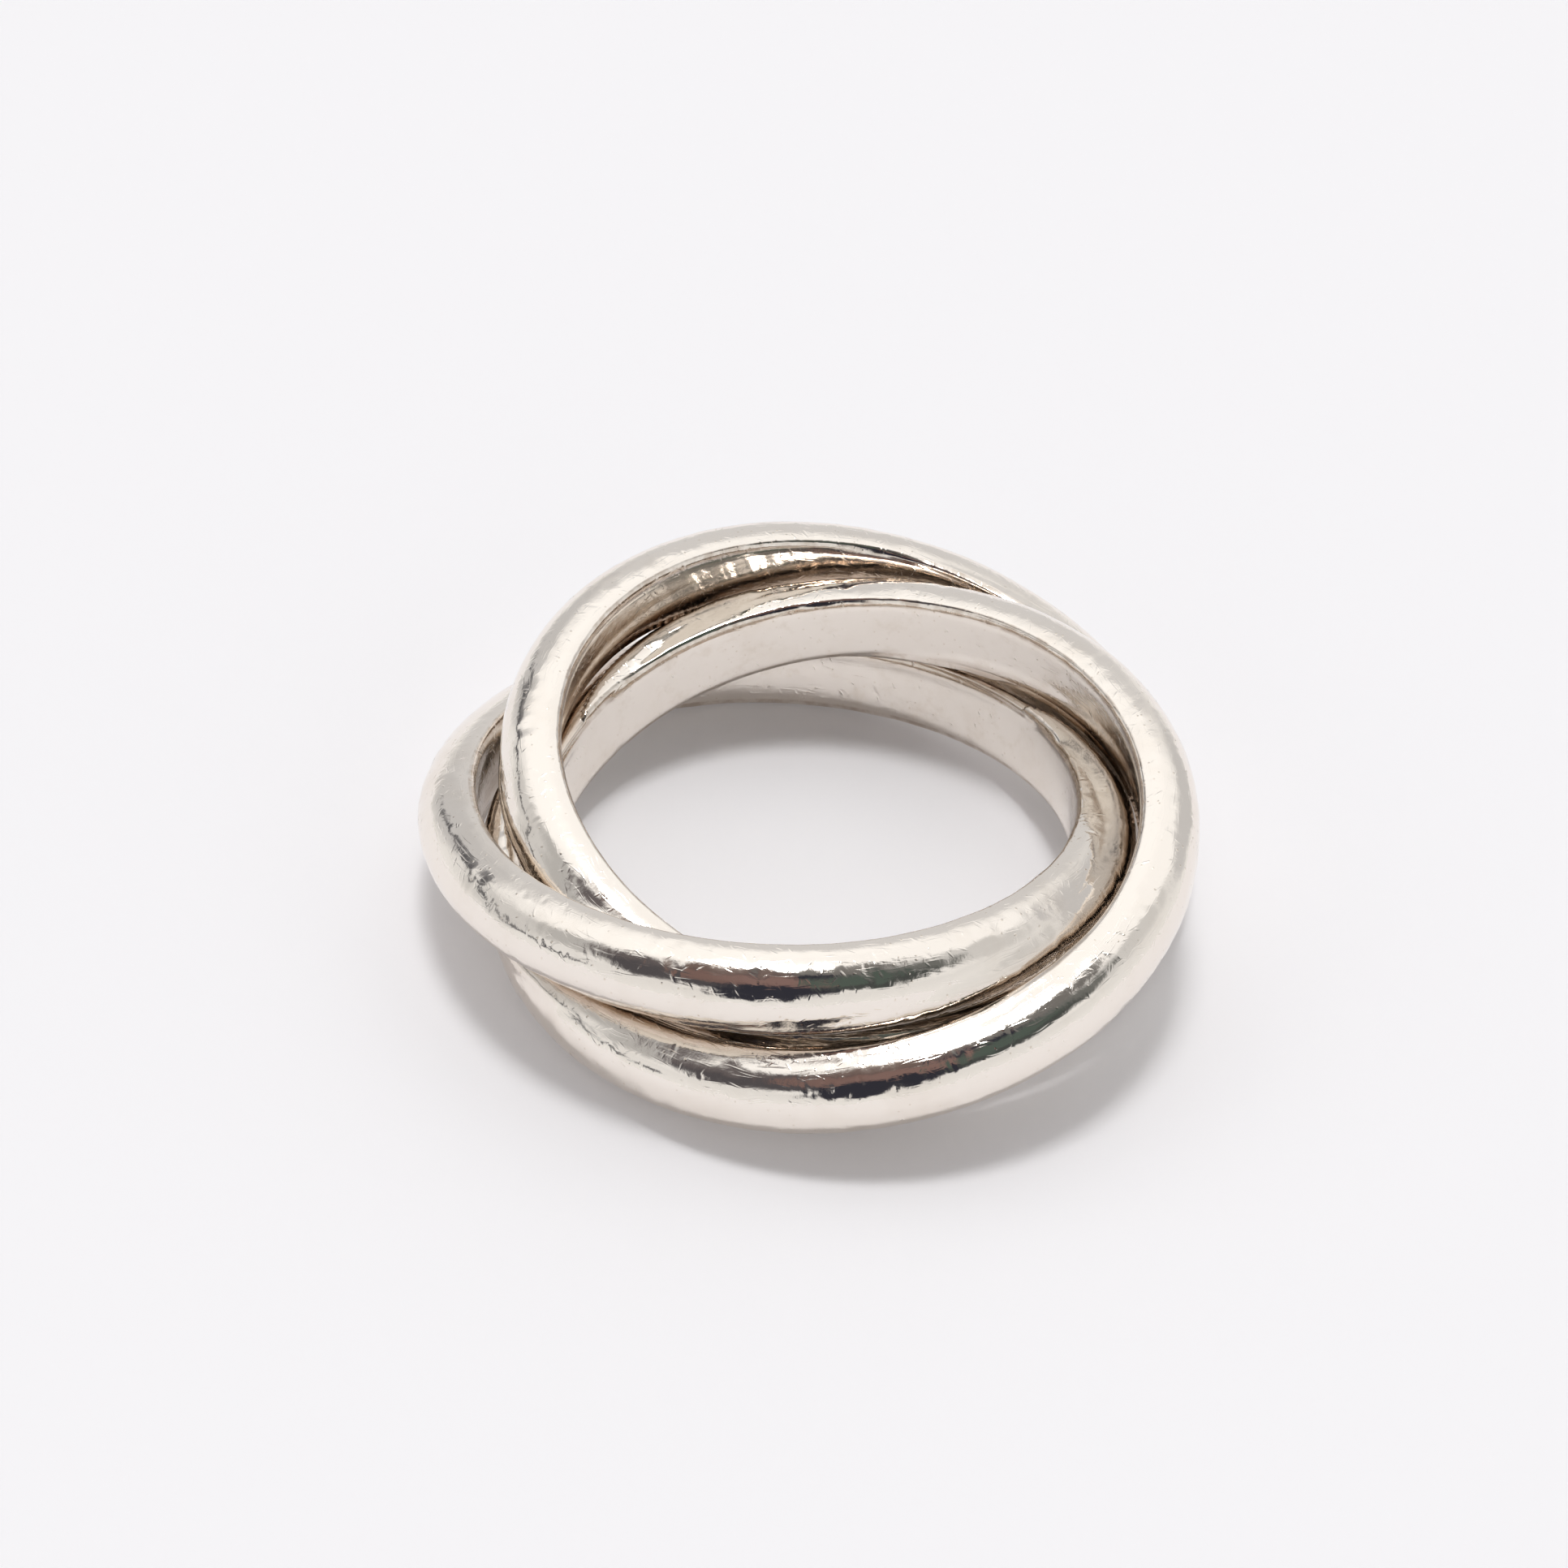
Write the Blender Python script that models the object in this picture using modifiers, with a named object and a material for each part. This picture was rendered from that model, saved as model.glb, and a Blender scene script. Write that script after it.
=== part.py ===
"""Linked ring set: three identical D-section bands, each one passing through both of the others.

The bands lie in a loose bundle on a flat surface, as they settle when the set is put down. Seen from
above, each band has slid outwards in its own direction, about a third of a turn from its neighbours, and
leans so that one side is high and the opposite side touches the surface. Every band therefore goes over
one neighbour and under the other, which is what keeps the three linked.

Metres, +Z up. The origin is at the centre of the bundle's footprint, on the surface it rests on.
"""

import math

import bmesh
import bpy
from mathutils import Vector

MM = 0.001

# One band: a ring with a flat inner wall, a domed outer face and small rounded inner corners.
BAND_INNER_RADIUS = 9.8 * MM
BAND_WIDTH = 2.72 * MM
BAND_THICKNESS = 1.88 * MM
INNER_CORNER_RADIUS = 0.2 * MM
DOME_FULLNESS = 2.2  # exponent of the dome's superellipse: 2 is a plain ellipse, more is squarer

# How finely the turned shape is cut.
STEPS_AROUND = 84
DOME_SEGMENTS = 10
CORNER_SEGMENTS = 2

# Where the bundle's own axis stands on the footprint.
BUNDLE_AXIS_X = 0.37 * MM
BUNDLE_AXIS_Y = 0.04 * MM

# Each band's place in the bundle: how far its centre has slid from the bundle's axis, which way it has
# slid, how much it leans, and which side of it is the high one. Directions are turned from +X about +Z.
BAND_PLACES = {
    "left_band": {"slide": 1.54 * MM, "slide_to": 178, "lean": 10.2, "high_side": -83},
    "rear_band": {"slide": 1.55 * MM, "slide_to": 54, "lean": 12.1, "high_side": 137.5},
    "front_band": {"slide": 1.45 * MM, "slide_to": -64, "lean": 11.5, "high_side": 32},
}

# A point on the line each loose band swings about. The line lies beside the band's low side, where it
# rolls against the left band and the surface as its high side is lifted.
SWING_POINTS = {
    "rear_band": (8.90 * MM, -5.69 * MM, 1.03 * MM),
    "front_band": (-7.33 * MM, -6.47 * MM, 1.81 * MM),
}

SILVER_COLOUR = (0.90, 0.86, 0.79, 1.0)
SILVER_ROUGHNESS = 0.12


def clear_scene():
    """Remove every object, so the script gives the same result in any file."""
    for obj in list(bpy.data.objects):
        bpy.data.objects.remove(obj, do_unlink=True)


def band_section():
    """The band's closed outline as (radius, height) points, running down its outer side."""
    half_width = BAND_WIDTH / 2
    dome_depth = BAND_THICKNESS - INNER_CORNER_RADIUS
    dome_foot = BAND_INNER_RADIUS + INNER_CORNER_RADIUS
    power = 2 / DOME_FULLNESS
    dome = []
    for i in range(DOME_SEGMENTS + 1):
        turn = math.pi / 2 - math.pi * i / DOME_SEGMENTS
        out = abs(math.cos(turn)) ** power if 0 < i < DOME_SEGMENTS else 0
        up = math.copysign(abs(math.sin(turn)) ** power, math.sin(turn))
        dome.append((dome_foot + dome_depth * out, half_width * up))
    corner = []
    for i in range(1, CORNER_SEGMENTS + 1):
        turn = math.pi / 2 * i / CORNER_SEGMENTS
        radius = dome_foot - INNER_CORNER_RADIUS * math.sin(turn)
        height = half_width - INNER_CORNER_RADIUS * (1 - math.cos(turn))
        corner.append((radius, height))
    lower_corner = [(radius, -height) for radius, height in corner]
    upper_corner = corner[::-1]
    return dome + lower_corner + upper_corner


def band_mesh(name):
    """The section as a loop of edges, ready for a Screw modifier about Z."""
    section = band_section()
    bm = bmesh.new()
    verts = [bm.verts.new((radius, 0, height)) for radius, height in section]
    for i, vert in enumerate(verts):
        bm.edges.new((vert, verts[(i + 1) % len(verts)]))
    mesh = bpy.data.meshes.new(name)
    bm.to_mesh(mesh)
    bm.free()
    return mesh


def silver(name):
    """Polished sterling silver."""
    material = bpy.data.materials.new(name)
    material.use_nodes = True
    shader = material.node_tree.nodes["Principled BSDF"]
    shader.inputs["Base Color"].default_value = SILVER_COLOUR
    shader.inputs["Roughness"].default_value = SILVER_ROUGHNESS
    shader.inputs["Metallic"].default_value = 1.0
    return material


def resting_height(lean):
    """Height of a leaning band's centre when its lowest point just touches z = 0."""
    depths = [r * math.sin(lean) + z * math.cos(lean) for r, z in band_section()]
    return max(depths)


def add_band(name, place, collection):
    """Turn one band and set it in its place, hung from a pivot on its swing line if it has one."""
    band = bpy.data.objects.new(name, band_mesh(name))
    collection.objects.link(band)
    band.data.materials.append(silver(f"{name}_silver"))

    turn = band.modifiers.new("turn", "SCREW")
    turn.axis = "Z"
    turn.angle = math.radians(360)
    turn.steps = STEPS_AROUND
    turn.render_steps = STEPS_AROUND
    turn.use_merge_vertices = True
    turn.merge_threshold = 0.00001
    turn.use_smooth_shade = True

    direction = math.radians(place["slide_to"])
    lean = math.radians(place["lean"])
    centre = Vector((
        BUNDLE_AXIS_X + place["slide"] * math.cos(direction),
        BUNDLE_AXIS_Y + place["slide"] * math.sin(direction),
        resting_height(lean),
    ))
    band.location = centre
    band.rotation_euler = (0, -lean, math.radians(place["high_side"]))
    if name in SWING_POINTS:
        pivot = bpy.data.objects.new(f"{name}_pivot", None)
        collection.objects.link(pivot)
        pivot.location = SWING_POINTS[name]
        band.parent = pivot
        band.location = centre - pivot.location


def main():
    clear_scene()
    collection = bpy.data.collections.new("linked_ring_set")
    bpy.context.scene.collection.children.link(collection)
    for name, place in BAND_PLACES.items():
        add_band(name, place, collection)


main()
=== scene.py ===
"""Looks of the linked ring set: three worn silver bands lying linked on a pale surface.

Each CAD band is read back from the frame (centre, axis, radii, width) and replaced by a fine mesh of the
same band, with the waviness, dents and nicks of long wear in the mesh, and with hairline scratches, haze
and tarnish in its material. Lengths in millimetres carry a _MM name and are scaled by MM.
"""

import math

import bpy
import numpy as np
from mathutils import Matrix, Vector


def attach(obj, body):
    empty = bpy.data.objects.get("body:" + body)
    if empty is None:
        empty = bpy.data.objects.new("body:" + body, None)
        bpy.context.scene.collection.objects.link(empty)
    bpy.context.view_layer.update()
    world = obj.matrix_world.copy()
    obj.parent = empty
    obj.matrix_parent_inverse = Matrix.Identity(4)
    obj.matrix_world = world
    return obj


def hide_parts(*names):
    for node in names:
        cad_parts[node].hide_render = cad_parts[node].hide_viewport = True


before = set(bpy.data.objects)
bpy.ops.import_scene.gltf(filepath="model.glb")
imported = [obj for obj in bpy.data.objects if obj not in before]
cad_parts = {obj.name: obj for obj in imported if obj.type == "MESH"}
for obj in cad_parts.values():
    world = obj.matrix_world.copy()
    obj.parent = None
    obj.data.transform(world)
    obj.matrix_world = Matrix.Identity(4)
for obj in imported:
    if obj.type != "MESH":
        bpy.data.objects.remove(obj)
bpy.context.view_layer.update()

MM = 0.001

# --- The band's section: the CAD's, with its edges and dome rubbed by wear ---------------------------
CORNER_DEPTH_MM = 0.25  # inner corners, between the flat inner wall and the dome: their share of the depth
CORNER_WIDTH_MM = 0.50  # and of the width, both more than on the new band: the edges are rubbed round
# Exponent of each dome's superellipse: 2.2 when new, and rubbed a little rounder or flatter since.
DOME_FULLNESS = {"left_band": 1.96, "rear_band": 2.2, "front_band": 2.36}
SECTION_POINTS = 92
STEPS_AROUND = 1040
OUTLINE_DOME_POINTS = 901  # of the dense outline that the section's points are picked from
OUTLINE_CORNER_POINTS = 60
OUTLINE_FLAT_POINTS = 200
OUTLINE_THINNING = 9  # every so many of them are enough to measure a distance to another band
BEND_WEIGHT = 0.22  # section points crowd where the outline turns: mm of extra length per radian
BEND_CAP = 0.2  # and the most radians that count at one point
FLAT_REACH = 0.3  # a point belongs to the flat inner wall within this share of the corner's depth
EDGE_SPAN = (0.10, 0.9)  # and to the rubbed edge between these shares

# --- Wear in the mesh --------------------------------------------------------------------------------
# Each wave layer: cell size, height and how much of it the flat inner wall gets.
WAVES_MM = [(3.4, 0.018, 0.3), (1.4, 0.015, 0.2), (0.72, 0.008, 0.12), (0.38, 0.0036, 0.12)]
CALM_CELL_MM = 4.5  # size of the calmer and rougher stretches
CALM_RANGE = (0.25, 1.7)  # how much the waves shrink or grow in them
CALM_MIDDLE = 0.85
CALM_SWING = 0.9
MARK_SPREAD = 0.32  # dents and nicks gather about the dome's top: their spread over half its width
DENTS_PER_BAND = 150
DENT_SIZE_MM = (0.12, 0.40)
DENT_STRETCH = (1.0, 1.8)
DENT_DEPTH = (0.03, 0.075)  # as a share of its size
NICKS_PER_BAND = 420
NICK_LENGTH_MM = (0.10, 0.40)
NICK_WIDTH_MM = (0.05, 0.08)
NICK_DEPTH_MM = (0.006, 0.018)
NICK_TURN = (1.2, 0.8)  # mean and spread of the way they point, in radians from along the band
# The CAD bands keep a working gap. The looks close most of it where the real bands lie on each other:
# a dome's sides and underside reach out, its top and the flat inner walls hardly do.
SETTLE_SHARE = 0.68  # of the gap, taken up by the two bands together
SETTLE_MOST_MM = 0.22
SETTLE_NEAR_MM = 0.55  # full where the gap is this small
SETTLE_FAR_MM = 1.15  # and none where it is this wide
SETTLE_FLAT = 0.22  # how willing a flat wall is to reach out, next to a dome's side
SETTLE_TOP = 0.22  # and a dome's top
TOP_FROM = 0.3  # height of the surface's normal where the top begins
TOP_FULL = 0.75  # and where it is wholly top
GRIME_AND_SHADE_NEAR_MM = 0.30  # dirt and painted shade are thickest where another band is this close at rest
GRIME_AND_SHADE_FAR_MM = 0.95  # and gone where none is this close

# --- Silver ------------------------------------------------------------------------------------------
SILVER = (0.915, 0.853, 0.782)
SILVER_TARNISHED = (0.70, 0.60, 0.49)
# Dark brown, partly dirt and partly painted shade, laid where the bands lie close and along the rubbed edges
SILVER_DIRT_AND_SHADE = (0.46, 0.345, 0.255)

# --- The camera: a short telephoto, a little tilted, looking down at the bundle ----------------------
CAMERA_AIM_MM = (-0.92, 1.26, 3.5)
CAMERA_DISTANCE_MM = 123.4
CAMERA_ELEVATION = 40.37
CAMERA_ROLL = 3.69
CAMERA_LENS = 85.65
CAMERA_SENSOR = 36.0

# --- The room the silver mirrors ---------------------------------------------------------------------
# Azimuth is measured from the camera's side (-Y) towards +X, elevation from the horizon, in degrees.
# Each patch fades from full inside its inner radius to none at its outer radius.
ROOM_PATCHES = [
    # azimuth, elevation, inner, outer, colour
    (180, 20, 14, 26, (0.68, 0.68, 0.69)),  # grey wall behind
    (-146, 20, 12, 24, (0.58, 0.58, 0.59)),
    (134, 20, 12, 24, (0.60, 0.60, 0.61)),
    (-100, 22, 10, 24, (0.66, 0.66, 0.66)),
    (-134, 27, 3, 8, (0.22, 0.22, 0.23)),  # dark gap in it
    (-84, 46, 8, 20, (0.50, 0.50, 0.50)),  # dim corner on the left
    (96, 47, 8, 24, (0.66, 0.66, 0.66)),  # dim corner on the right
    (180, 62, 12, 26, (1.11, 1.11, 1.11)),  # glow of the softbox, behind
    (-136, 60, 9, 22, (1.11, 1.11, 1.11)),
    (146, 58, 8, 20, (1.05, 1.05, 1.05)),
    (-160, 84, 5, 11, (31.0, 31.0, 31.0)),  # softbox, nearly overhead
    (4, 62, 27, 34, (0.032, 0.033, 0.046)),  # dark shape of the viewer, from the front to overhead
    (-2, 29, 11, 18, (0.032, 0.033, 0.046)),
    (-62, 57, 8, 17, (0.13, 0.115, 0.12)),
    (67, 57, 8, 18, (0.16, 0.165, 0.16)),
    (-44, 49, 11, 20, (0.085, 0.080, 0.088)),
    (43, 49, 11, 19, (0.065, 0.072, 0.070)),
    (-20, 84, 5, 10, (0.13, 0.105, 0.105)),
    (92, 77, 8, 14, (0.18, 0.175, 0.17)),
    (-30, 64, 7, 14, (0.20, 0.130, 0.118)),  # warm patches in it
    (-8, 67, 6, 12, (0.23, 0.150, 0.138)),
    (15, 60, 5, 12, (0.23, 0.148, 0.134)),
    (-70, 80, 5, 11, (0.17, 0.125, 0.115)),
    (38, 58, 7, 15, (0.085, 0.112, 0.098)),  # greenish patch in it
]
# A thin dark seam in the tent's wall, low on the left: azimuth and elevation of each stretch, its inner and
# outer radius, and its colour.
ROOM_SEAM = [(-143, 15), (-141, 22), (-134, 25), (-127, 25), (-120, 24), (-113, 22), (-107, 20), (-101, 18),
             (-95, 17), (-89, 15), (-83, 14), (-77, 13), (-71, 12), (-65, 12), (-59, 13)]
ROOM_SEAM_RADII = (1.2, 4.2)
ROOM_SEAM_COLOUR = (0.10, 0.10, 0.11)
# Brightness of the tent's wall by the sine of its elevation: pale foot, greyer belt, pale top.
ROOM_WALL = [(0.0, 0.88), (0.20, 0.84), (0.45, 0.80), (0.72, 1.00), (0.90, 1.00)]
ROOM_RAGGED = 0.13  # how far the patches' edges wander, as a share of the direction's length
ROOM_NOISE = (3.0, 3.0, 0.6)  # the noise that makes them wander: scale, detail, roughness
BACKDROP_COLOUR = (0.955, 0.945, 0.962)
FLOOR_COLOUR = (0.911, 0.902, 0.920)
FLOOR_SIZE = 3.0  # metres
FLOOR_ROUGHNESS = 0.85
FLOOR_SHINE = 0.2
FLOOR_GLOW = 0.06  # light that spreads through the translucent floor into the shadows


# =====================================================================================================
# Reading a band back from the frame
# =====================================================================================================
def read_band(node):
    """Centre, axis, low-side direction, radii and width of a CAD band, in metres."""
    points = np.array([v.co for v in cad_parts[node].data.vertices], float)
    centre = (points.max(0) + points.min(0)) / 2
    spread = points - points.mean(0)
    axis = np.linalg.svd(spread, full_matrices=False)[2][2]
    axis *= np.sign(axis[2])
    for _ in range(3):
        along = (points - centre) @ axis
        centre = centre + axis * (along.max() + along.min()) / 2
    along = (points - centre) @ axis
    radial = np.linalg.norm(points - centre - along[:, None] * axis, axis=1)
    down = np.array([0.0, 0.0, -1.0])
    low_side = down - (down @ axis) * axis
    low_side /= np.linalg.norm(low_side)
    return {
        "fullness": DOME_FULLNESS[node],
        "centre": centre,
        "axis": axis,
        "low_side": low_side,
        "third": np.cross(axis, low_side),
        "inner": radial.min(),
        "outer": radial.max(),
        "half_width": along.max(),
    }


# =====================================================================================================
# Section
# =====================================================================================================
def band_outline(band):
    """The D section as dense closed (radius, height) points, dome first and flat wall last."""
    corner_depth, corner_width = CORNER_DEPTH_MM * MM, CORNER_WIDTH_MM * MM
    foot = band["inner"] + corner_depth
    depth = band["outer"] - foot
    half_width = band["half_width"]
    power = 2 / band["fullness"]
    turn = np.linspace(math.pi / 2, -math.pi / 2, OUTLINE_DOME_POINTS)
    dome_r = foot + depth * np.abs(np.cos(turn)) ** power
    dome_z = half_width * np.sign(np.sin(turn)) * np.abs(np.sin(turn)) ** power
    bend = np.linspace(0, math.pi / 2, OUTLINE_CORNER_POINTS)[1:]
    lower_r = foot - corner_depth * np.sin(bend)
    lower_z = -half_width + corner_width * (1 - np.cos(bend))
    flat_z = np.linspace(lower_z[-1], -lower_z[-1], OUTLINE_FLAT_POINTS)[1:-1]
    flat_r = np.full(len(flat_z), band["inner"])
    r = np.concatenate([dome_r, lower_r, flat_r, lower_r[::-1]])
    z = np.concatenate([dome_z, lower_z, flat_z, -lower_z[::-1]])
    return r, z


def band_perimeter(band):
    """Length round the section."""
    r, z = band_outline(band)
    return np.hypot(np.diff(r, append=r[0]), np.diff(z, append=z[0])).sum()


def band_section(band):
    """Section points spaced more closely where the outline bends, with normals and arc positions.

    The arc position is measured round the section from about the dome's top.
    """
    r, z = band_outline(band)
    step = np.hypot(np.diff(r, append=r[0]), np.diff(z, append=z[0]))
    heading = np.unwrap(np.arctan2(np.diff(z, append=z[0]), np.diff(r, append=r[0])))
    bend = np.abs(np.diff(heading, append=heading[0] - 2 * math.pi))
    effort = np.concatenate([[0], np.cumsum(step / MM + BEND_WEIGHT * np.minimum(bend, BEND_CAP))])
    arc = np.concatenate([[0], np.cumsum(step)])
    places = np.arange(SECTION_POINTS) / SECTION_POINTS * effort[-1]
    arc_here = np.interp(places, effort, arc)
    closed_r = np.append(r, r[0])
    closed_z = np.append(z, z[0])
    section_r = np.interp(arc_here, arc, closed_r)
    section_z = np.interp(arc_here, arc, closed_z)
    tangent_r = np.roll(section_r, -1) - np.roll(section_r, 1)
    tangent_z = np.roll(section_z, -1) - np.roll(section_z, 1)
    length = np.hypot(tangent_r, tangent_z)
    rising = slice(SECTION_POINTS // 3)
    dome_top = np.interp(band["outer"] - 1e-9, section_r[rising], arc_here[rising])
    return section_r, section_z, -tangent_z / length, tangent_r / length, arc_here - dome_top


# =====================================================================================================
# Wear as shape
# =====================================================================================================
NOISE_CELLS = 64
NOISE_GAIN = 1.6  # brings the noise to about -1 to 1
HOLLOW_FALL = 2.2  # how steeply a hollow closes
LIP_HEIGHT = 0.22  # of the raised lip round it, as a share of the hollow's depth
LIP_PLACE = 1.25  # its distance from the middle, in hollow sizes
LIP_FALL = 9


def lattice_noise(points, cell, rng):
    """Smooth gradient noise in about -1 to 1, one bump every cell, repeating only every NOISE_CELLS."""
    table = rng.permutation(NOISE_CELLS)
    slopes = rng.normal(size=(NOISE_CELLS, 3))
    slopes /= np.linalg.norm(slopes, axis=1, keepdims=True)
    scaled = points / cell + NOISE_CELLS // 2
    base = np.floor(scaled).astype(int)
    part = scaled - base
    fade = part**3 * (part * (part * 6 - 15) + 10)
    total = np.zeros(len(points))
    for corner in np.ndindex(2, 2, 2):
        cell_id = (base + corner) % NOISE_CELLS
        pick = table[cell_id[:, 0]]
        pick = table[(pick + cell_id[:, 1]) % NOISE_CELLS]
        pick = table[(pick + cell_id[:, 2]) % NOISE_CELLS]
        weight = np.prod(np.where(corner, fade, 1 - fade), axis=1)
        total += weight * np.sum(slopes[pick] * (part - corner), axis=1)
    return total * NOISE_GAIN


def hollow(along, across, length, width, turn):
    """A smooth hollow of 1 at its middle with a faint raised lip round it."""
    a = (along * math.cos(turn) + across * math.sin(turn)) / length
    b = (across * math.cos(turn) - along * math.sin(turn)) / width
    d = a * a + b * b
    return np.exp(-d * HOLLOW_FALL) - LIP_HEIGHT * np.exp(-((np.sqrt(d) - LIP_PLACE) ** 2) * LIP_FALL)


def wear(points, along, across, flat, rng):
    """Height of the worn surface over the new one, in metres, at each point of a band."""
    height = np.zeros(len(points))
    rough = np.clip(CALM_MIDDLE + CALM_SWING * lattice_noise(points, CALM_CELL_MM * MM, rng), *CALM_RANGE)
    for cell, size, on_flat in WAVES_MM:
        share = (1 - (1 - on_flat) * flat) * rough
        height += size * MM * share * lattice_noise(points, cell * MM, rng)
    circumference = along.max() - along.min()
    low, high = across[flat < 0.5].min(), across[flat < 0.5].max()

    def mark(length, width, depth, turn):
        """Press one hollow into the surface, somewhere round the band."""
        middle = rng.uniform(0, circumference)
        beside = rng.normal(0, MARK_SPREAD) * (high - low) / 2
        offset = (along - middle + circumference / 2) % circumference - circumference / 2
        near = (np.abs(offset) < 3 * length) & (np.abs(across - beside) < 3 * max(length, width))
        height[near] -= depth * hollow(offset[near], across[near] - beside, length, width, turn)

    for _ in range(DENTS_PER_BAND):
        size = rng.uniform(*DENT_SIZE_MM) * MM
        length = size * rng.uniform(*DENT_STRETCH)
        depth = size * rng.uniform(*DENT_DEPTH)
        mark(length, size, depth, rng.uniform(0, math.pi))
    for _ in range(NICKS_PER_BAND):
        length = rng.uniform(*NICK_LENGTH_MM) * MM
        width = rng.uniform(*NICK_WIDTH_MM) * MM
        depth = rng.uniform(*NICK_DEPTH_MM) * MM
        mark(length, width, depth, rng.normal(*NICK_TURN))
    return height


# =====================================================================================================
# Band mesh
# =====================================================================================================
def on_flat_wall(r, band):
    """Whether a radius belongs to the band's flat inner wall."""
    return r < band["inner"] + FLAT_REACH * CORNER_DEPTH_MM * MM


def distance_to_band(points, band):
    """How far each point is from another band's surface, in metres, and whether its flat wall is nearest."""
    outline_r, outline_z = (values[::OUTLINE_THINNING] for values in band_outline(band))
    offset = points - band["centre"]
    z = offset @ band["axis"]
    r = np.linalg.norm(offset - z[:, None] * band["axis"], axis=1)
    gap = np.full(len(points), np.inf)
    to_flat = np.zeros(len(points))
    for spot_r, spot_z in zip(outline_r, outline_z):
        away = np.hypot(r - spot_r, z - spot_z)
        closer = away < gap
        gap[closer] = away[closer]
        to_flat[closer] = on_flat_wall(spot_r, band)
    return gap, to_flat


def willing(flat, normal_z):
    """How readily a surface reaches out towards a band beside it."""
    top = np.clip((normal_z - TOP_FROM) / (TOP_FULL - TOP_FROM), 0, 1)
    return (1 - (1 - SETTLE_TOP) * top) * (1 - (1 - SETTLE_FLAT) * flat)


def settled(gap, flat, to_flat, normal_z):
    """How far the surface reaches out towards a band that lies this far from it and faces it."""
    own, other = willing(flat, normal_z), willing(to_flat, -normal_z)
    reach = np.minimum(SETTLE_SHARE * gap * own / (own + other), SETTLE_MOST_MM * MM)
    near = np.clip((SETTLE_FAR_MM - gap / MM) / (SETTLE_FAR_MM - SETTLE_NEAR_MM), 0, 1)
    return reach * near * near * (3 - 2 * near)


def gap_to_others(points, node, bands):
    """The smallest gap from each point to the other bands, and whether a flat wall is on its far side."""
    measured = [distance_to_band(points, band) for name, band in bands.items() if name != node]
    (gap, to_flat), (gap_2, to_flat_2) = measured
    return np.minimum(gap, gap_2), np.where(gap_2 < gap, to_flat_2, to_flat)


def grid_faces():
    """Corner numbers of the quads between neighbouring sections."""
    index = np.arange(STEPS_AROUND * SECTION_POINTS).reshape(STEPS_AROUND, SECTION_POINTS)
    ahead = np.roll(index, -1, axis=0)
    faces = np.stack([index, ahead, np.roll(ahead, -1, axis=1), np.roll(index, -1, axis=1)], axis=-1)
    return faces.reshape(-1, 4)


def grid_mesh(name, points):
    """A closed mesh of quads over a grid of sections."""
    faces = grid_faces()
    mesh = bpy.data.meshes.new(name)
    mesh.vertices.add(len(points))
    mesh.vertices.foreach_set("co", points.astype(np.float32).ravel())
    mesh.loops.add(faces.size)
    mesh.loops.foreach_set("vertex_index", faces.ravel())
    mesh.polygons.add(len(faces))
    mesh.polygons.foreach_set("loop_start", np.arange(0, faces.size, 4))
    mesh.polygons.foreach_set("loop_total", np.full(len(faces), 4))
    mesh.update(calc_edges=True)
    mesh.shade_smooth()
    return mesh


def unwrap(mesh, along, arc, step_along, perimeter):
    """Unwrapped place in millimetres: along the band, and across its section from the dome's top."""
    arc_step = np.append(np.diff(arc), perimeter - (arc[-1] - arc[0]))
    u = along
    v = np.tile(arc, STEPS_AROUND)
    dv = np.tile(arc_step, STEPS_AROUND)
    corners = np.stack([
        np.stack([u, v], axis=1),
        np.stack([u + step_along, v], axis=1),
        np.stack([u + step_along, v + dv], axis=1),
        np.stack([u, v + dv], axis=1),
    ], axis=1)
    unwrapped = mesh.uv_layers.new(name="unwrapped")
    unwrapped.data.foreach_set("uv", (corners / MM).astype(np.float32).ravel())


def paint(mesh, name, values):
    """A value at each point, which the material reads by name."""
    layer = mesh.attributes.new(name, "FLOAT", "POINT")
    layer.data.foreach_set("value", values.astype(np.float32))


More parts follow.
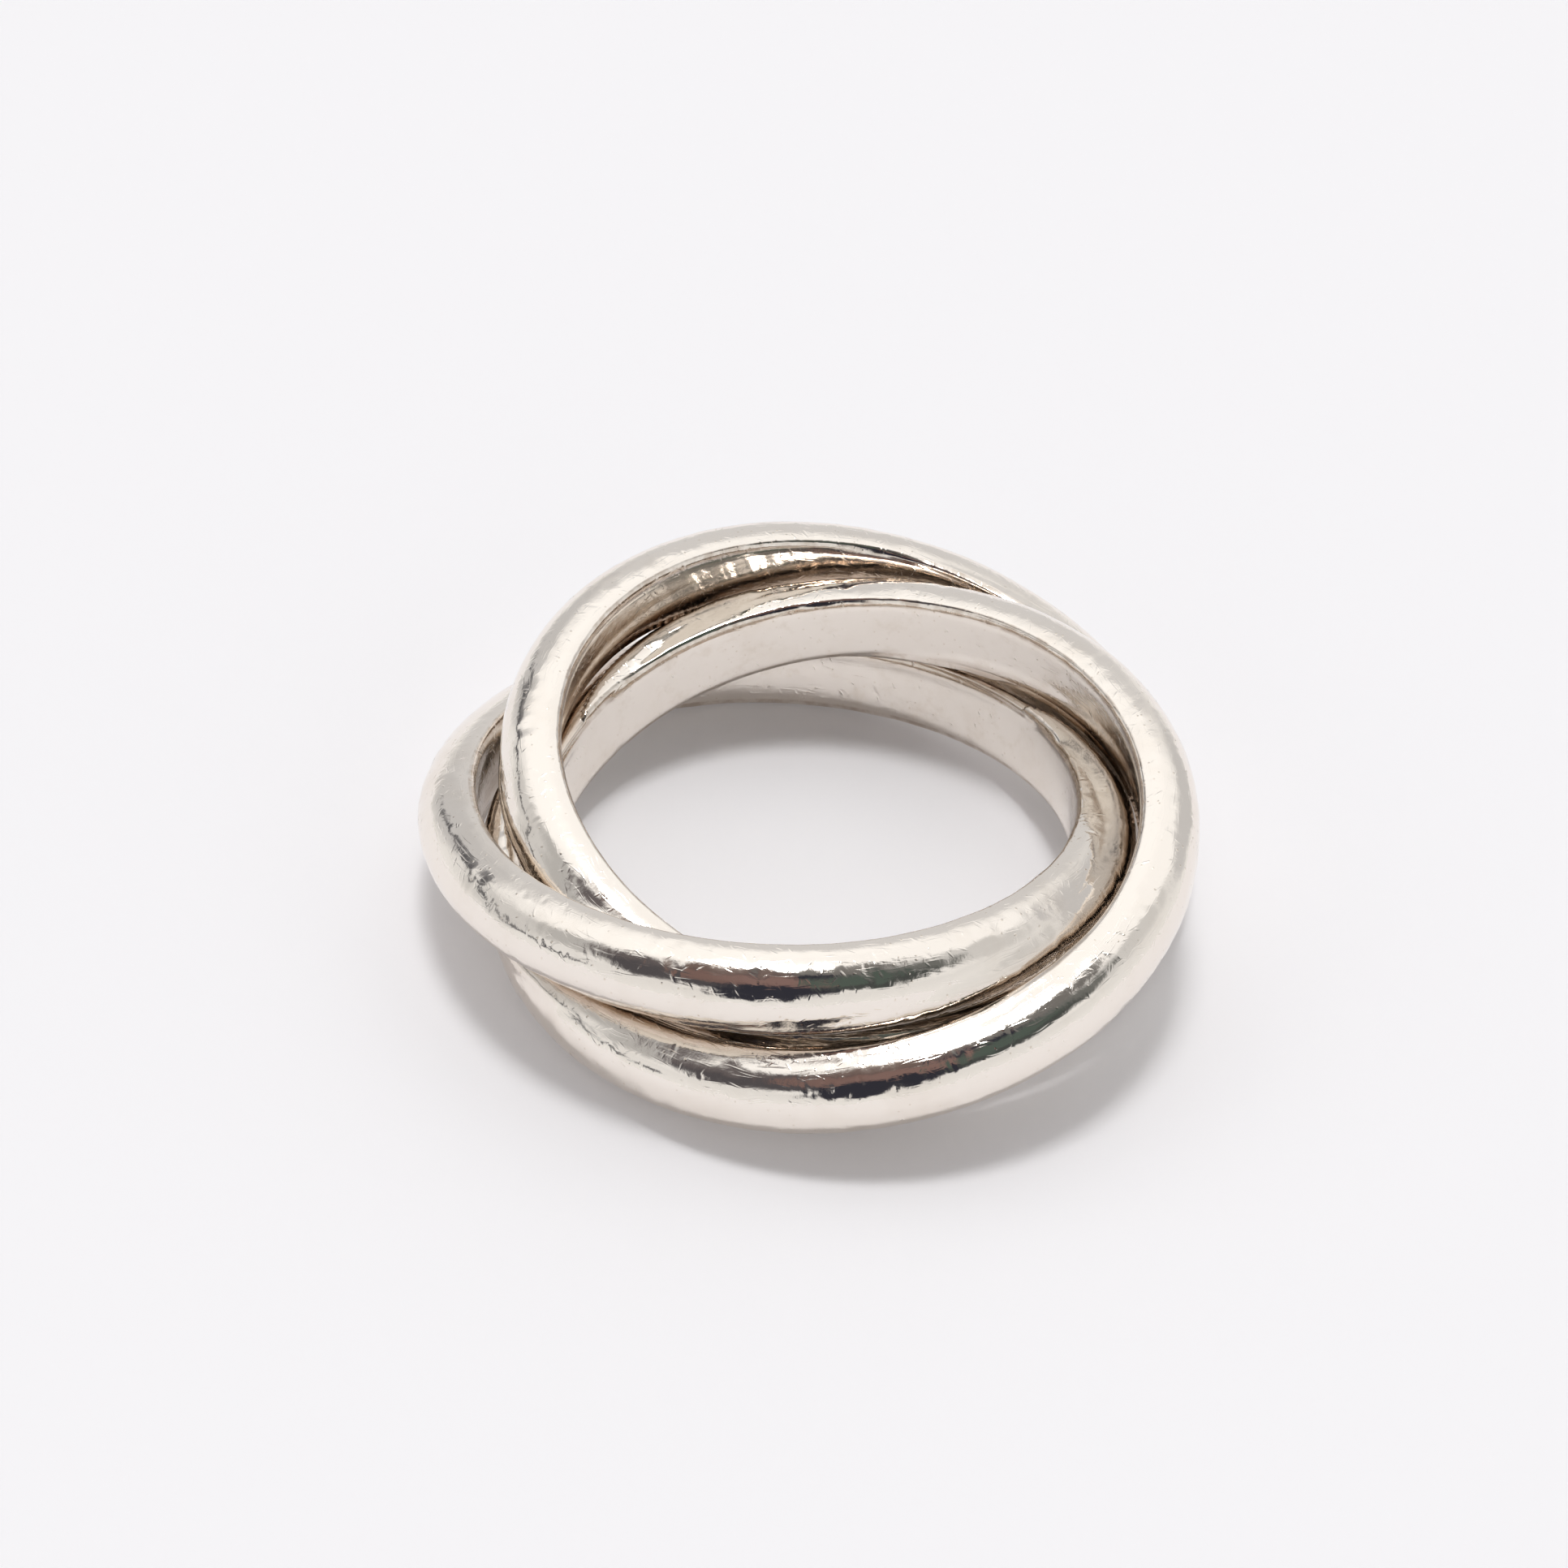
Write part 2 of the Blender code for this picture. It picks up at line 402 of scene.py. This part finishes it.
def band_piece(node, bands, seed):
    """A fine, worn mesh of one band, standing for its CAD node."""
    band = bands[node]
    rng = np.random.default_rng(seed)
    r, z, normal_r, normal_z, arc = band_section(band)
    angle = np.arange(STEPS_AROUND) * 2 * math.pi / STEPS_AROUND
    outward = np.cos(angle)[:, None] * band["low_side"] + np.sin(angle)[:, None] * band["third"]
    radius = (band["inner"] + band["outer"]) / 2

    def grid(values_r, values_z):
        """The section's vectors, turned round the band's axis."""
        turned = outward[:, None, :] * values_r[None, :, None]
        return (turned + band["axis"] * values_z[None, :, None]).reshape(-1, 3)

    offset = grid(r, z)
    normal = grid(normal_r, normal_z)
    local = np.stack([offset @ band["low_side"], offset @ band["third"], offset @ band["axis"]], axis=1)
    flat = np.tile(on_flat_wall(r, band).astype(float), STEPS_AROUND)
    along = np.repeat(angle * radius, SECTION_POINTS)
    height = wear(local, along, np.tile(arc, STEPS_AROUND), flat, rng)
    gap, to_flat = gap_to_others(band["centre"] + offset, node, bands)
    height += settled(gap, flat, to_flat, normal[:, 2])

    mesh = grid_mesh(node + "_worn", band["centre"] + offset + normal * height[:, None])
    unwrap(mesh, along, arc, 2 * math.pi / STEPS_AROUND * radius, band_perimeter(band))
    paint(mesh, "flat_wall", flat)
    # The rubbed edge between the flat wall and the dome, which the material darkens: partly dirt, partly a
    # painted dark line of shade
    edge_from, edge_to = (band["inner"] + share * CORNER_DEPTH_MM * MM for share in EDGE_SPAN)
    paint(mesh, "edge", np.tile((r > edge_from) & (r < edge_to), STEPS_AROUND))
    # Painted shade between the bands, partly dirt: a darkening mask, full where another band lies close at
    # rest
    grime_and_shade_share = (GRIME_AND_SHADE_FAR_MM * MM - gap) / ((GRIME_AND_SHADE_FAR_MM - GRIME_AND_SHADE_NEAR_MM) * MM)
    paint(mesh, "grime_and_shade", np.clip(grime_and_shade_share, 0, 1))

    piece = bpy.data.objects.new(node + "_worn", mesh)
    bpy.context.scene.collection.objects.link(piece)
    mesh.materials.append(silver(node + "_silver", seed))
    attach(piece, node)
    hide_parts(node)


# =====================================================================================================
# Node helpers
# =====================================================================================================
class Graph:
    """Short ways to add and join nodes in one node tree."""

    def __init__(self, tree):
        self.tree = tree
        tree.nodes.clear()

    def add(self, kind, **settings):
        node = self.tree.nodes.new(kind)
        for key, value in settings.items():
            setattr(node, key, value)
        return node

    def link(self, source, target):
        self.tree.links.new(source, target)

    def put(self, socket, value):
        if isinstance(value, bpy.types.NodeSocket):
            self.link(value, socket)
        else:
            socket.default_value = value

    def math(self, operation, a, b=0.0, clamp=False):
        node = self.add("ShaderNodeMath", operation=operation, use_clamp=clamp)
        self.put(node.inputs[0], a)
        self.put(node.inputs[1], b)
        return node.outputs[0]

    def vector(self, operation, a, b):
        node = self.add("ShaderNodeVectorMath", operation=operation)
        self.put(node.inputs[0], a)
        self.put(node.inputs[1], b)
        return node.outputs["Value" if operation == "DOT_PRODUCT" else "Vector"]

    def ramp(self, value, low, high, to_low=0.0, to_high=1.0, smooth=True):
        node = self.add("ShaderNodeMapRange", interpolation_type="SMOOTHSTEP" if smooth else "LINEAR")
        for name, number in (("Value", value), ("From Min", low), ("From Max", high),
                             ("To Min", to_low), ("To Max", to_high)):
            self.put(node.inputs[name], number)
        return node.outputs["Result"]

    def mix(self, factor, a, b):
        node = self.add("ShaderNodeMix", data_type="RGBA")
        self.put(node.inputs["Factor"], factor)
        self.put(node.inputs[6], a)
        self.put(node.inputs[7], b)
        return node.outputs[2]

    def mapped(self, source, scale, turn=0.0, shift=(0.0, 0.0, 0.0)):
        """Coordinates turned about Z and then scaled."""
        turned = self.add("ShaderNodeVectorRotate", rotation_type="Z_AXIS")
        self.put(turned.inputs["Vector"], source)
        turned.inputs["Angle"].default_value = turn
        placed = self.add("ShaderNodeMapping")
        self.link(turned.outputs[0], placed.inputs["Vector"])
        placed.inputs["Scale"].default_value = scale
        placed.inputs["Location"].default_value = shift
        return placed.outputs[0]

    def noise(self, source, scale, detail=2.0, roughness=0.5):
        node = self.add("ShaderNodeTexNoise")
        self.put(node.inputs["Vector"], source)
        node.inputs["Scale"].default_value = scale
        node.inputs["Detail"].default_value = detail
        node.inputs["Roughness"].default_value = roughness
        return node.outputs

    def specks(self, source, reach):
        """1 at the middle of scattered specks, one in each Voronoi cell, falling to 0 at reach."""
        node = self.add("ShaderNodeTexVoronoi", voronoi_dimensions="2D", feature="F1")
        self.put(node.inputs["Vector"], source)
        node.inputs["Scale"].default_value = 1.0
        return self.ramp(node.outputs["Distance"], 0.0, reach, 1.0, 0.0)


def rgba(colour):
    return (*colour, 1.0)


# =====================================================================================================
# Silver material
# =====================================================================================================
# Hairline scratches: turn from along the band, spacing along and across each scratch, reach, depth (um).
SCRATCHES = [
    (0.04, 3.4, 0.13, 0.22, 2.6),
    (-0.12, 2.6, 0.17, 0.20, 2.8),
    (-0.45, 2.0, 0.30, 0.13, 3.4),
    (0.70, 1.8, 0.38, 0.12, 3.4),
    (1.30, 1.3, 0.42, 0.12, 3.6),
    (-0.95, 1.6, 0.40, 0.12, 3.4),
    (2.20, 2.4, 0.60, 0.10, 6.0),
]
SCRATCH_BEND = 0.35  # how far, in mm, the scratches wander from straight lines
MICRON = 1e-6
# Each noise: bumps per millimetre, detail, roughness. Each ramp: from low, from high, to low, to high.
SCRATCHED_NOISE = (0.55, 1.0)  # where each layer of scratches is dense
SCRATCHED_RAMP = (0.38, 0.62)
BROAD_NOISE = (0.8, 1.0)  # bends the scratches and gathers the pits
PITTED_RAMP = (0.45, 0.60)
PITS_PER_MM = 1.9
PIT_REACH = 0.11
GRAIN_STRETCH = (0.35, 22.0, 1.0)  # polishing lines, long and close together
STREAK_STRETCH = (0.5, 9.0, 1.0)  # breaks the dirt and painted shade between the bands into streaks along the band
LINE_NOISE = (1.0, 3.0, 0.6)
# Relief of the fine surface, in microns
RIPPLE_NOISE = (3.2, 3.0, 0.55)
RIPPLE_UM = 6.0
ORANGE_PEEL_NOISE = (11.0, 2.0, 0.5)
ORANGE_PEEL_UM = 0.7
GRAIN_UM = 0.55
PIT_UM = 5.0
# Roughness of the polished metal, and what is added to it
HAZE_NOISE = (0.9, 3.0, 0.6)
HAZE_RAMP = (0.35, 0.75, 0.055, 0.13)
HAZE_ON_FLAT = 0.06
HAZE_IN_GRIME = 0.08
HAZE_PER_SCRATCH_UM = 0.03
# Tarnish, dirt and painted shade: how far each takes the silver's colour with it
CLOUD_NOISE = (0.45, 4.0, 0.6)
CLOUD_RAMP = (0.45, 0.80, 0.0, 0.22)
MOTTLE_NOISE = (1.1, 4.0, 0.7)
MOTTLE_RAMP = (0.50, 0.75, 0.0, 0.30)
PIT_TARNISH = 0.7
STREAK_RAMP = (0.2, 0.7)
GRIME_AND_SHADE_RAMP = (0.0, 1.0, 0.45, 1.0)
# Darkening of the rubbed edge, partly dirt and partly painted shade: its noise and its ramp
EDGE_NOISE = (1.6, 3.0, 0.6)
EDGE_RAMP = (0.35, 0.65, 0.05, 0.50)


def silver(name, seed):
    """Polished sterling silver worn by years of rubbing: hairlines, haze, pits and a little tarnish."""
    material = bpy.data.materials.new(name)
    material.use_nodes = True
    g = Graph(material.node_tree)
    out = g.add("ShaderNodeOutputMaterial")
    shader = g.add("ShaderNodeBsdfPrincipled")
    g.link(shader.outputs["BSDF"], out.inputs["Surface"])
    shader.inputs["Metallic"].default_value = 1.0

    unwrapped = g.add("ShaderNodeUVMap", uv_map="unwrapped").outputs["UV"]
    coordinates = g.add("ShaderNodeTexCoord").outputs["Object"]
    solid = g.vector("SCALE", coordinates, (0, 0, 0))
    solid.node.inputs["Scale"].default_value = 1 / MM
    flat = g.add("ShaderNodeAttribute", attribute_name="flat_wall").outputs["Fac"]
    # Darkening masks: painted shade with some dirt between the bands, and along the rubbed edge
    grime_and_shade = g.add("ShaderNodeAttribute", attribute_name="grime_and_shade").outputs["Fac"]
    edge = g.add("ShaderNodeAttribute", attribute_name="edge").outputs["Fac"]

    # Hairlines, bent a little and thinned out in places by broad noises
    bend = g.vector("SUBTRACT", g.noise(solid, *BROAD_NOISE)[1], (0.5, 0.5, 0.5))
    bent = g.vector("MULTIPLY_ADD", bend, (SCRATCH_BEND,) * 3)
    g.put(bent.node.inputs[2], unwrapped)
    hairlines = 0.0
    for i, (turn, spacing_along, spacing_across, reach, depth) in enumerate(SCRATCHES):
        shift = (seed * 3.7 + i * 11.3, seed * 1.9 + i * 5.1, 0.0)
        placed = g.mapped(bent, (1 / spacing_along, 1 / spacing_across, 1.0), turn, shift)
        lines = g.specks(placed, reach)
        moved = g.mapped(solid, (1, 1, 1), 0.0, shift)
        patch = g.ramp(g.noise(moved, *SCRATCHED_NOISE)[0], *SCRATCHED_RAMP)
        cut = g.math("MULTIPLY", g.math("MULTIPLY", lines, patch), depth)
        hairlines = g.math("ADD", hairlines, cut)

    # Pits and the polishing lines that run along the band
    pitted = g.mapped(bent, (PITS_PER_MM, PITS_PER_MM, 1.0), 0.3, (seed * 5.0, 2.0, 0.0))
    gathered = g.ramp(g.noise(solid, *BROAD_NOISE)[0], *PITTED_RAMP)
    pits = g.math("MULTIPLY", g.specks(pitted, PIT_REACH), gathered)
    grain = g.noise(g.mapped(unwrapped, GRAIN_STRETCH, 0.0, (seed, 0.0, 0.0)), *LINE_NOISE)[0]
    ripple = g.noise(solid, *RIPPLE_NOISE)[0]
    orange_peel = g.noise(solid, *ORANGE_PEEL_NOISE)[0]
    height = g.math("MULTIPLY", ripple, RIPPLE_UM)
    height = g.math("ADD", height, g.math("MULTIPLY", orange_peel, ORANGE_PEEL_UM))
    height = g.math("ADD", height, g.math("MULTIPLY", grain, GRAIN_UM))
    height = g.math("SUBTRACT", height, hairlines)
    height = g.math("SUBTRACT", height, g.math("MULTIPLY", pits, PIT_UM))
    bump = g.add("ShaderNodeBump")
    bump.inputs["Strength"].default_value = 1.0
    bump.inputs["Distance"].default_value = 1.0
    g.link(g.math("MULTIPLY", height, MICRON), bump.inputs["Height"])
    g.link(bump.outputs["Normal"], shader.inputs["Normal"])

    # Haze: polished domes, satin flats, duller inside the scratches
    haze = g.ramp(g.noise(solid, *HAZE_NOISE)[0], *HAZE_RAMP)
    haze = g.math("ADD", haze, g.math("MULTIPLY", flat, HAZE_ON_FLAT))
    haze = g.math("ADD", haze, g.math("MULTIPLY", grime_and_shade, HAZE_IN_GRIME))
    haze = g.math("ADD", haze, g.math("MULTIPLY", hairlines, HAZE_PER_SCRATCH_UM), clamp=True)
    g.link(haze, shader.inputs["Roughness"])

    # Colour: silver with faint warm clouds of tarnish, darker tarnish in the pits, and a dark brown where
    # the bands lie close and along the rubbed edges that is partly dirt and partly painted shade
    clouds = g.ramp(g.noise(solid, *CLOUD_NOISE)[0], *CLOUD_RAMP)
    mottle = g.ramp(g.noise(solid, *MOTTLE_NOISE)[0], *MOTTLE_RAMP)
    clouds = g.math("ADD", clouds, g.math("MULTIPLY", flat, mottle))
    tarnish = g.math("MAXIMUM", clouds, g.math("MULTIPLY", pits, PIT_TARNISH))
    cleaner = g.mix(tarnish, rgba(SILVER), rgba(SILVER_TARNISHED))
    streaks = g.noise(g.mapped(unwrapped, STREAK_STRETCH, 0.0, (seed, 4.0, 0.0)), *LINE_NOISE)[0]
    streaks = g.ramp(g.ramp(streaks, *STREAK_RAMP), *GRIME_AND_SHADE_RAMP)
    # Along the rubbed edge a noisy darkening, partly dirt and partly a painted dark line of shade
    edge_dirt_and_shade = g.ramp(g.noise(solid, *EDGE_NOISE)[0], *EDGE_RAMP)
    # Painted shade: the colour darkens towards dark brown between the bands and along the rubbed edge,
    # partly as dirt
    dirt_and_shade = g.math("MAXIMUM", g.math("MULTIPLY", grime_and_shade, streaks), g.math("MULTIPLY", edge, edge_dirt_and_shade))
    g.link(g.mix(dirt_and_shade, cleaner, rgba(SILVER_DIRT_AND_SHADE)), shader.inputs["Base Color"])
    return material


# =====================================================================================================
# Room, floor and camera
# =====================================================================================================
def direction(azimuth, elevation):
    """Unit vector towards a place in the room."""
    a, e = math.radians(azimuth), math.radians(elevation)
    return (math.sin(a) * math.cos(e), -math.cos(a) * math.cos(e), math.sin(e))


def room():
    """A white tent with an opening on the viewer's side, as light and as what the silver mirrors."""
    world = bpy.data.worlds.new("room")
    bpy.context.scene.world = world
    world.use_nodes = True
    g = Graph(world.node_tree)
    out = g.add("ShaderNodeOutputWorld")
    background = g.add("ShaderNodeBackground")
    g.link(background.outputs[0], out.inputs["Surface"])
    towards = g.add("ShaderNodeTexCoord").outputs["Generated"]
    wander = g.noise(towards, *ROOM_NOISE)[1]
    centred = g.vector("SUBTRACT", wander, (0.5, 0.5, 0.5))
    ragged = g.vector("MULTIPLY_ADD", centred, (ROOM_RAGGED * 2,) * 3)
    g.put(ragged.node.inputs[2], towards)
    ragged = g.vector("NORMALIZE", ragged, (0, 0, 0))
    height = g.vector("DOT_PRODUCT", towards, (0, 0, 1))
    wall = g.add("ShaderNodeValToRGB")
    g.link(height, wall.inputs["Fac"])
    for stop, (place, level) in enumerate(ROOM_WALL):
        point = wall.color_ramp.elements[stop] if stop < 2 else wall.color_ramp.elements.new(place)
        point.position = place
        point.color = rgba((level,) * 3)
    colour = wall.outputs["Color"]
    seam = [(*place, *ROOM_SEAM_RADII, ROOM_SEAM_COLOUR) for place in ROOM_SEAM]
    for azimuth, elevation, inner, outer, patch in ROOM_PATCHES + seam:
        closeness = g.vector("DOT_PRODUCT", ragged, direction(azimuth, elevation))
        inside = g.ramp(closeness, math.cos(math.radians(outer)), math.cos(math.radians(inner)))
        colour = g.mix(inside, colour, rgba(patch))
    seen = g.add("ShaderNodeLightPath").outputs["Is Camera Ray"]
    colour = g.mix(seen, colour, rgba(BACKDROP_COLOUR))
    g.link(colour, background.inputs["Color"])


def floor():
    """A wide, matt, nearly white surface under the bundle."""
    bpy.ops.mesh.primitive_plane_add(size=FLOOR_SIZE, location=(0, 0, 0))
    plane = bpy.context.active_object
    plane.name = "floor"
    material = bpy.data.materials.new("floor_paper")
    material.use_nodes = True
    shader = material.node_tree.nodes["Principled BSDF"]
    shader.inputs["Base Color"].default_value = rgba(FLOOR_COLOUR)
    shader.inputs["Roughness"].default_value = FLOOR_ROUGHNESS
    shader.inputs["Specular IOR Level"].default_value = FLOOR_SHINE
    shader.inputs["Emission Color"].default_value = rgba(BACKDROP_COLOUR)
    shader.inputs["Emission Strength"].default_value = FLOOR_GLOW
    plane.data.materials.append(material)


def camera():
    """The camera, aimed by its distance, elevation and roll."""
    back = Vector(direction(0, CAMERA_ELEVATION))
    turn = (-back).to_track_quat("-Z", "Y").to_matrix() @ Matrix.Rotation(math.radians(CAMERA_ROLL), 3, "Z")
    data = bpy.data.cameras.new("camera")
    data.lens = CAMERA_LENS
    data.sensor_width = CAMERA_SENSOR
    data.clip_start = 0.001
    data.clip_end = 10.0
    view = bpy.data.objects.new("camera", data)
    bpy.context.scene.collection.objects.link(view)
    place = Vector(CAMERA_AIM_MM) * MM + back * (CAMERA_DISTANCE_MM * MM)
    view.matrix_world = Matrix.Translation(place) @ turn.to_4x4()
    bpy.context.scene.camera = view


camera()
room()
floor()
bands = {node: read_band(node) for node in sorted(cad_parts)}
for seed, node in enumerate(bands, start=1):
    band_piece(node, bands, seed)
bpy.context.scene.view_settings.view_transform = "Standard"
